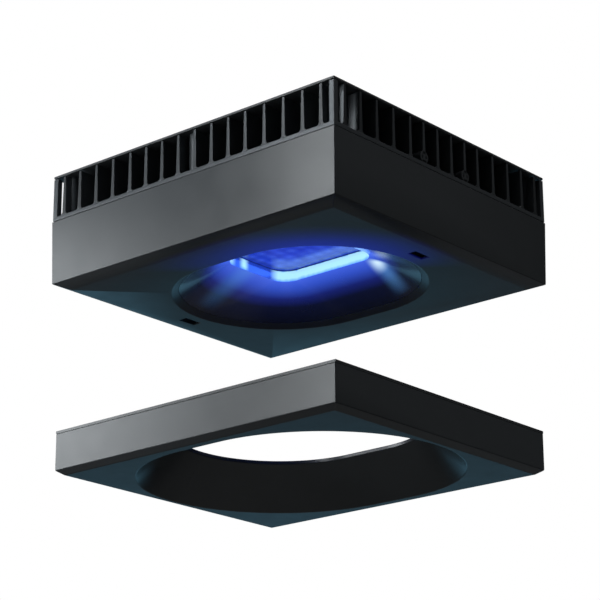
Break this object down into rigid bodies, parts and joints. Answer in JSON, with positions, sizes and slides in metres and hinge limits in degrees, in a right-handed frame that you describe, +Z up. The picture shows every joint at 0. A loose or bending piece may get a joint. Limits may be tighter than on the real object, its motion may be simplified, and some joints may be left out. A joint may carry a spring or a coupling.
{
  "type": "led aquarium light",
  "caption": "Pendant LED aquarium light: square-edged lamp with louvred heatsink over a recessed lens, and a hollow clip-on light shade hanging below it.",
  "frame": {"origin": "middle of the lamp's top face, in the plane of the four hanger inserts", "axes": "+Z up, X along the longer side, -Y is the lamp's front, rear panel on +Y"},
  "size_m": [0.215, 0.193, 0.18],
  "materials": {
    "housing": "fine satin moulded finish, dark grey with a green-blue cast",
    "seal": "soft black silicone",
    "bowl": "glossy black reflecting bowl",
    "steel": "plain steel",
    "guide": "clear polished plastic",
    "lens": "clear lens, lit blue",
    "holder": "black glass-filled plastic",
    "board_white": "white solder mask on aluminium",
    "pad": "grey thermal pad",
    "diode": "diode packages",
    "plug": "cream nylon",
    "heatsink": "black anodised cast aluminium",
    "brass": "turned brass",
    "cover": "black satin sheet",
    "black_screw": "blackened steel",
    "fan_black": "black moulded plastic",
    "bronze": "sintered bronze",
    "copper": "lacquered copper winding",
    "magnet": "dark ferrite",
    "board_green": "green solder mask",
    "coil": "moulded ferrite coil",
    "capacitor": "sleeved can",
    "shield": "tinned shield",
    "inlet": "black moulded inlet",
    "button": "dark grey button",
    "switch": "switch body",
    "shade": "fine satin moulded finish",
    "clip": "tough black nylon"
  },
  "bodies": {
    "lamp": {"lower_housing": "housing", "housing_seal": "seal", "light_bowl": "bowl", "bowl_screws": "steel", "light_guide": "guide", "lens_gasket": "seal", "lens": "lens", "lens_holder": "holder", "lens_screws": "steel", "led_board": "board_white", "thermal_pad": "pad", "led_diodes": "diode", "led_plug": "plug", "heatsink": "heatsink", "housing_screws": "steel", "hanger_inserts": "brass", "top_cover": "cover", "cover_screws": "black_screw", "fan_frame": "fan_black", "fan_bearing": "bronze", "fan_stator": "copper", "fan_screws": "black_screw", "control_board": "board_green", "board_standoffs": "brass", "board_screws": "steel", "driver_coils": "coil", "driver_capacitors": "capacitor", "wireless_module": "shield", "board_plugs": "plug", "power_inlet": "inlet", "inlet_nut": "steel", "switch_case": "switch", "button_board": "board_green", "button_posts": "brass", "button_board_screws": "steel", "status_light": "guide"},
    "shade": {"shade_shell": "shade", "shade_top": "shade", "shade_screws": "black_screw", "shade_clip_right": "clip", "shade_clip_left": "clip"},
    "fan": {"fan_rotor": "fan_black", "fan_magnet": "magnet", "fan_shaft": "steel"},
    "button": {"pair_button": "button", "switch_plunger": "button"}
  },
  "joints": [
    {"name": "shade_lift", "type": "slide", "parent": "lamp", "child": "shade", "axis": [0, 0, 1], "range_m": [0, 0.0843]},
    {"name": "fan_spin", "type": "hinge", "parent": "lamp", "child": "fan", "pos_m": [0, 0, -0.008], "axis": [0, 0, 1], "continuous": true},
    {"name": "pair_press", "type": "slide", "parent": "lamp", "child": "button", "axis": [0, -1, 0], "range_m": [0, 0.001], "stiffness_N_per_m": 600, "springref_m": -0.001}
  ]
}
